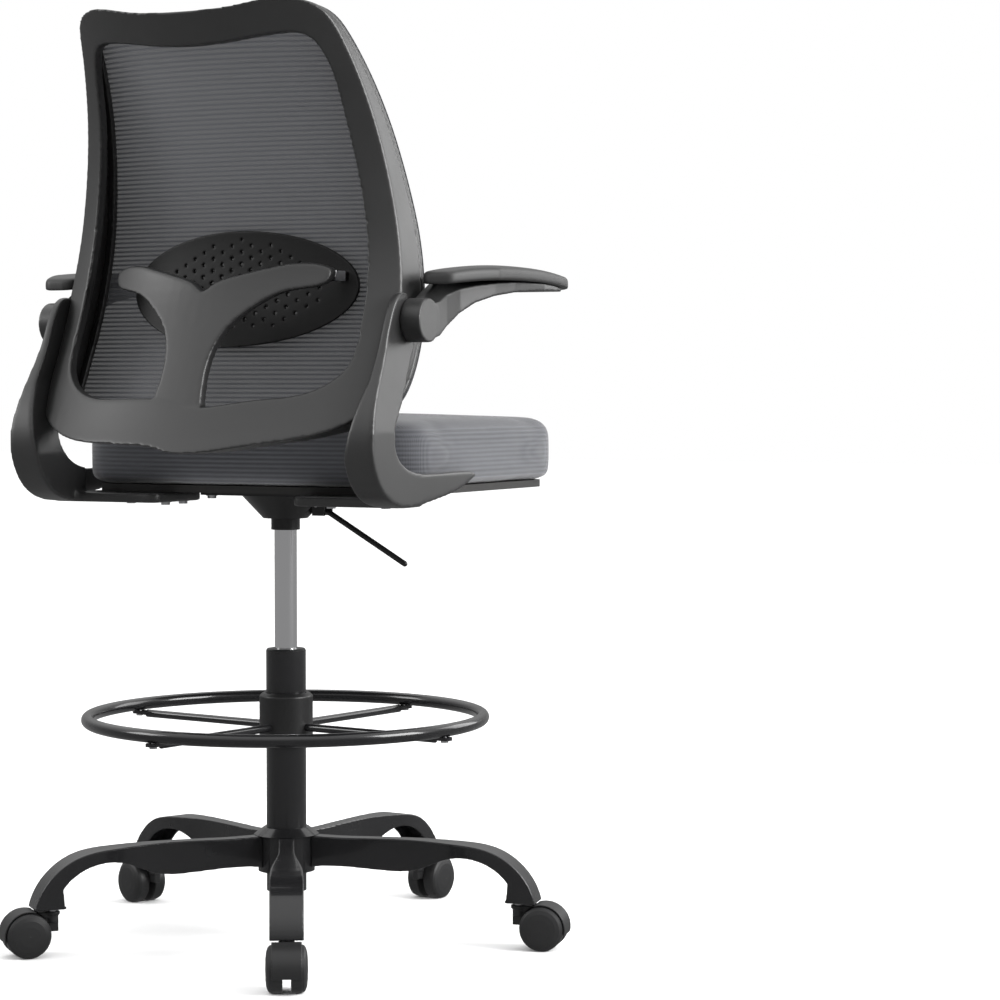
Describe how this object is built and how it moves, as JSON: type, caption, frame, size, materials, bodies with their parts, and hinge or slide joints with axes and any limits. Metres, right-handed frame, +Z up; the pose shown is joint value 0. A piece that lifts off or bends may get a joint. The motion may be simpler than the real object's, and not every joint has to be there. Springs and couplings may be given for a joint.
{
  "type": "drafting chair",
  "caption": "Tall drafting chair with mesh back, ribbed fabric seat, flip-up arms, height-adjustable foot ring and a star base on twin-wheel casters.",
  "frame": {"origin": "on the floor, on the column's axis", "axes": "+Z up, the sitter faces -Y, and the sitter's left is +X"},
  "size_m": [0.6965, 0.6832, 1.1417],
  "materials": {
    "painted_steel": "gloss black paint",
    "ring_paint": "gloss black paint",
    "chrome_steel": "polished",
    "plated_steel": "zinc plated",
    "mechanism_paint": "satin black paint",
    "collar_plastic": "satin moulded",
    "plywood": "black stained plywood",
    "seat_fabric": "fine horizontal rib",
    "back_mesh_fabric": "open mesh",
    "frame_plastic": "satin moulded nylon",
    "lumbar_plastic": "satin moulded",
    "pad_foam": "fine grained soft pad",
    "caster_plastic": "satin moulded",
    "wheel_plastic": "satin moulded"
  },
  "bodies": {
    "base": {"base_hub": "painted_steel", "stand_tube": "painted_steel", "guide_bush": "collar_plastic", "caster_stems": "plated_steel", "caster_nuts": "plated_steel", "base_leg_1": "painted_steel", "base_leg_2": "painted_steel", "base_leg_3": "painted_steel", "base_leg_4": "painted_steel", "base_leg_5": "painted_steel"},
    "piston": {"piston_rod": "chrome_steel", "thrust_bearing": "plated_steel"},
    "seat": {"gas_cylinder": "chrome_steel", "lift_mechanism": "mechanism_paint", "lever_pin": "plated_steel", "plate_bolts": "plated_steel", "seat_board": "plywood", "seat_cushion": "seat_fabric", "bracket_bolts": "plated_steel", "arm_bolts": "plated_steel", "arm_bracket_left": "frame_plastic", "arm_bracket_right": "frame_plastic", "back_frame": "frame_plastic", "mesh_carrier": "frame_plastic", "back_mesh": "back_mesh_fabric", "lumbar_pins": "plated_steel"},
    "release_pin": {"release_pin": "plated_steel"},
    "height_lever": {"height_lever": "mechanism_paint"},
    "arm_left": {"arm_beam_left": "frame_plastic", "arm_pad_left": "pad_foam"},
    "arm_right": {"arm_beam_right": "frame_plastic", "arm_pad_right": "pad_foam"},
    "lumbar": {"lumbar_pad": "lumbar_plastic"},
    "foot_ring": {"foot_ring": "ring_paint", "ring_spokes": "ring_paint", "ring_screws": "plated_steel", "ring_collar": "collar_plastic"},
    "clamp_knob": {"ring_knob": "collar_plastic", "ring_knob_screw": "plated_steel"},
    "caster_1": {"caster_hood_1": "caster_plastic", "caster_axle_1": "plated_steel"},
    "wheel_1a": {"caster_wheel_1a": "wheel_plastic"},
    "wheel_1b": {"caster_wheel_1b": "wheel_plastic"},
    "caster_2": {"caster_hood_2": "caster_plastic", "caster_axle_2": "plated_steel"},
    "wheel_2a": {"caster_wheel_2a": "wheel_plastic"},
    "wheel_2b": {"caster_wheel_2b": "wheel_plastic"},
    "caster_3": {"caster_hood_3": "caster_plastic", "caster_axle_3": "plated_steel"},
    "wheel_3a": {"caster_wheel_3a": "wheel_plastic"},
    "wheel_3b": {"caster_wheel_3b": "wheel_plastic"},
    "caster_4": {"caster_hood_4": "caster_plastic", "caster_axle_4": "plated_steel"},
    "wheel_4a": {"caster_wheel_4a": "wheel_plastic"},
    "wheel_4b": {"caster_wheel_4b": "wheel_plastic"},
    "caster_5": {"caster_hood_5": "caster_plastic", "caster_axle_5": "plated_steel"},
    "wheel_5a": {"caster_wheel_5a": "wheel_plastic"},
    "wheel_5b": {"caster_wheel_5b": "wheel_plastic"}
  },
  "joints": [
    {"name": "column_swivel", "type": "hinge", "parent": "base", "child": "piston", "pos_m": [0, 0, 0.07], "axis": [0, 0, 1], "continuous": true},
    {"name": "seat_height", "type": "slide", "parent": "piston", "child": "seat", "axis": [0, 0, 1], "range_m": [-0.138, 0.06]},
    {"name": "release_pin_slide", "type": "slide", "parent": "seat", "child": "release_pin", "axis": [0, 0, -1], "range_m": [0, 0.0053]},
    {"name": "height_lever_lift", "type": "hinge", "parent": "seat", "child": "height_lever", "pos_m": [-0.05, 0, 0.545], "axis": [0, 1, 0], "range_deg": [0, 6], "stiffness_Nm_per_rad": 1.5, "springref_deg": -9.74},
    {"name": "arm_left_flip", "type": "hinge", "parent": "seat", "child": "arm_left", "pos_m": [0.255, 0.122, 0.775], "axis": [-1, 0, 0], "range_deg": [0, 90]},
    {"name": "arm_right_flip", "type": "hinge", "parent": "seat", "child": "arm_right", "pos_m": [-0.255, 0.122, 0.775], "axis": [-1, 0, 0], "range_deg": [0, 90]},
    {"name": "lumbar_tilt", "type": "hinge", "parent": "seat", "child": "lumbar", "pos_m": [0, 0.117, 0.824], "axis": [1, 0, 0], "range_deg": [-4, 4]},
    {"name": "foot_ring_height", "type": "slide", "parent": "base", "child": "foot_ring", "axis": [0, 0, 1], "range_m": [-0.1, 0.05]},
    {"name": "clamp_knob_turn", "type": "hinge", "parent": "foot_ring", "child": "clamp_knob", "pos_m": [0.03527, -0.04854, 0.265], "axis": [0.5878, -0.809, 0], "range_deg": [0, 360]},
    {"name": "caster_1_swivel", "type": "hinge", "parent": "base", "child": "caster_1", "pos_m": [-0.15226, 0.25849, 0.05], "axis": [0, 0, 1], "continuous": true},
    {"name": "wheel_1a_spin", "type": "hinge", "parent": "caster_1", "child": "wheel_1a", "pos_m": [-0.1685, 0.28606, 0.0274], "axis": [-0.8616, -0.5075, 0], "continuous": true},
    {"name": "wheel_1b_spin", "type": "hinge", "parent": "caster_1", "child": "wheel_1b", "pos_m": [-0.1685, 0.28606, 0.0274], "axis": [-0.8616, -0.5075, 0], "continuous": true},
    {"name": "caster_2_swivel", "type": "hinge", "parent": "base", "child": "caster_2", "pos_m": [-0.29289, -0.06493, 0.05], "axis": [0, 0, 1], "continuous": true},
    {"name": "wheel_2a_spin", "type": "hinge", "parent": "caster_2", "child": "wheel_2a", "pos_m": [-0.32413, -0.07186, 0.0274], "axis": [0.2164, -0.9763, 0], "continuous": true},
    {"name": "wheel_2b_spin", "type": "hinge", "parent": "caster_2", "child": "wheel_2b", "pos_m": [-0.32413, -0.07186, 0.0274], "axis": [0.2164, -0.9763, 0], "continuous": true},
    {"name": "caster_3_swivel", "type": "hinge", "parent": "base", "child": "caster_3", "pos_m": [-0.02875, -0.29862, 0.05], "axis": [0, 0, 1], "continuous": true},
    {"name": "wheel_3a_spin", "type": "hinge", "parent": "caster_3", "child": "wheel_3a", "pos_m": [-0.03182, -0.33047, 0.0274], "axis": [0.9954, -0.0958, 0], "continuous": true},
    {"name": "wheel_3b_spin", "type": "hinge", "parent": "caster_3", "child": "wheel_3b", "pos_m": [-0.03182, -0.33047, 0.0274], "axis": [0.9954, -0.0958, 0], "continuous": true},
    {"name": "caster_4_swivel", "type": "hinge", "parent": "base", "child": "caster_4", "pos_m": [0.27512, -0.11962, 0.05], "axis": [0, 0, 1], "continuous": true},
    {"name": "wheel_4a_spin", "type": "hinge", "parent": "caster_4", "child": "wheel_4a", "pos_m": [0.30446, -0.13239, 0.0274], "axis": [0.3987, 0.9171, 0], "continuous": true},
    {"name": "wheel_4b_spin", "type": "hinge", "parent": "caster_4", "child": "wheel_4b", "pos_m": [0.30446, -0.13239, 0.0274], "axis": [0.3987, 0.9171, 0], "continuous": true},
    {"name": "caster_5_swivel", "type": "hinge", "parent": "base", "child": "caster_5", "pos_m": [0.19879, 0.22469, 0.05], "axis": [0, 0, 1], "continuous": true},
    {"name": "wheel_5a_spin", "type": "hinge", "parent": "caster_5", "child": "wheel_5a", "pos_m": [0.21999, 0.24865, 0.0274], "axis": [-0.749, 0.6626, 0], "continuous": true},
    {"name": "wheel_5b_spin", "type": "hinge", "parent": "caster_5", "child": "wheel_5b", "pos_m": [0.21999, 0.24865, 0.0274], "axis": [-0.749, 0.6626, 0], "continuous": true}
  ],
  "couplings": [
    {"joint": "release_pin_slide", "follows": "height_lever_lift", "m_per_rad": 0.05}
  ]
}
